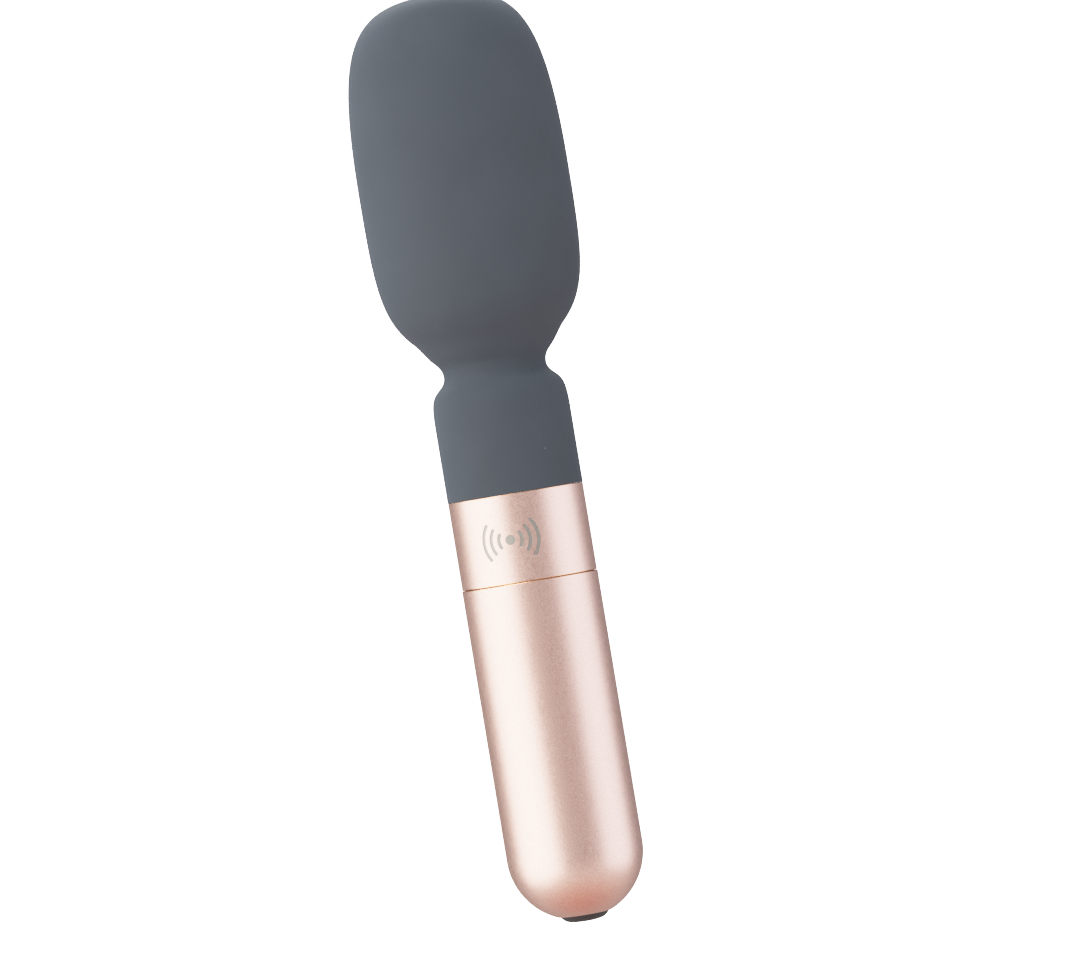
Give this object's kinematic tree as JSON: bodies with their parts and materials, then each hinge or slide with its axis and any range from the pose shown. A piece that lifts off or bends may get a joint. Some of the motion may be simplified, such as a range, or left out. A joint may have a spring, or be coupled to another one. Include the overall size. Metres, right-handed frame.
{
  "type": "wand massager",
  "caption": "Cordless handheld wand massager: domed aluminium handle with an end push button, and a soft silicone head on a flexible neck that unscrews from it.",
  "frame": {"origin": "on the wand's axis at the middle of the hand's grip on the handle, 40 mm above the tip of the button", "axes": "+Z along the wand's axis from the button to the head; +Y towards the side of the handle that holds the battery cell, -Y towards the side of the circuit board"},
  "size_m": [0.0432, 0.0432, 0.191],
  "materials": {
    "rose_metal": "satin",
    "silicone": "matte",
    "button_rubber": "matte",
    "seal_rubber": "matte",
    "black_plastic": "matte",
    "white_plastic": "satin",
    "steel": "satin",
    "brass": "satin",
    "winding": "satin",
    "ferrite": "matte",
    "cell_wrap": "satin",
    "circuit_board": "satin",
    "ribbon": "satin",
    "chip": "matte",
    "red_wire": "satin",
    "black_wire": "satin",
    "foam": "matte"
  },
  "bodies": {
    "handle": {"battery_cell": "cell_wrap", "battery_pad": "foam", "battery_tab_bottom": "steel", "battery_tab_top": "steel", "board_screw_left": "steel", "board_screw_right": "steel", "body_shell": "rose_metal", "button_board": "circuit_board", "button_connector": "white_plastic", "button_guide": "black_plastic", "button_ribbon": "ribbon", "button_seal": "seal_rubber", "charge_lead_left": "black_wire", "charge_lead_right": "black_wire", "charge_magnet": "steel", "charge_pin_left": "brass", "charge_pin_right": "brass", "charger_chip": "chip", "chassis": "black_plastic", "collar_o_ring": "seal_rubber", "collar_ring": "rose_metal", "controller_chip": "chip", "main_board": "circuit_board", "motor_bush": "brass", "motor_can": "steel", "motor_driver": "chip", "motor_end_cap": "white_plastic", "motor_lead_left": "black_wire", "motor_lead_right": "red_wire", "motor_magnet": "ferrite", "motor_sleeve": "seal_rubber", "nose_cap": "black_plastic", "nose_housing": "black_plastic", "nose_screw_1": "steel", "nose_screw_2": "steel", "nose_screw_3": "steel", "power_inductor": "ferrite", "tact_switch": "steel"},
    "button": {"button_cap": "button_rubber", "button_stem": "white_plastic", "switch_plunger": "black_plastic"},
    "rotor": {"motor_shaft": "steel", "motor_armature": "winding", "commutator": "brass", "eccentric_weight": "steel"},
    "seal": {"head_seal_ring": "seal_rubber"},
    "head": {"thread_insert": "black_plastic", "silicone_skirt": "silicone", "silicone_neck": "silicone"},
    "bulb": {"silicone_bulb": "silicone", "core_lower": "white_plastic", "core_upper": "white_plastic"}
  },
  "joints": [
    {"name": "head_rise", "type": "slide", "parent": "handle", "child": "seal", "axis": [0, 0, 1], "range_m": [0, 0.00376]},
    {"name": "head_unscrew", "type": "hinge", "parent": "seal", "child": "head", "pos_m": [0, 0, 0.05], "axis": [0, 0, 1], "range_deg": [0, 540]},
    {"name": "neck_flex", "type": "hinge", "parent": "head", "child": "bulb", "pos_m": [0, 0, 0.0736], "axis": [0, 1, 0], "range_deg": [-15, 15], "stiffness_Nm_per_rad": 1.5, "deforming": ["silicone_neck"]},
    {"name": "button_press", "type": "slide", "parent": "handle", "child": "button", "axis": [0, 0, 1], "range_m": [0, 0.0005], "stiffness_N_per_m": 3000},
    {"name": "motor_spin", "type": "hinge", "parent": "handle", "child": "rotor", "pos_m": [0, 0, 0.05], "axis": [0, 0, 1], "continuous": true}
  ],
  "couplings": [
    {"joint": "head_rise", "follows": "head_unscrew", "m_per_rad": 0.00039789}
  ]
}
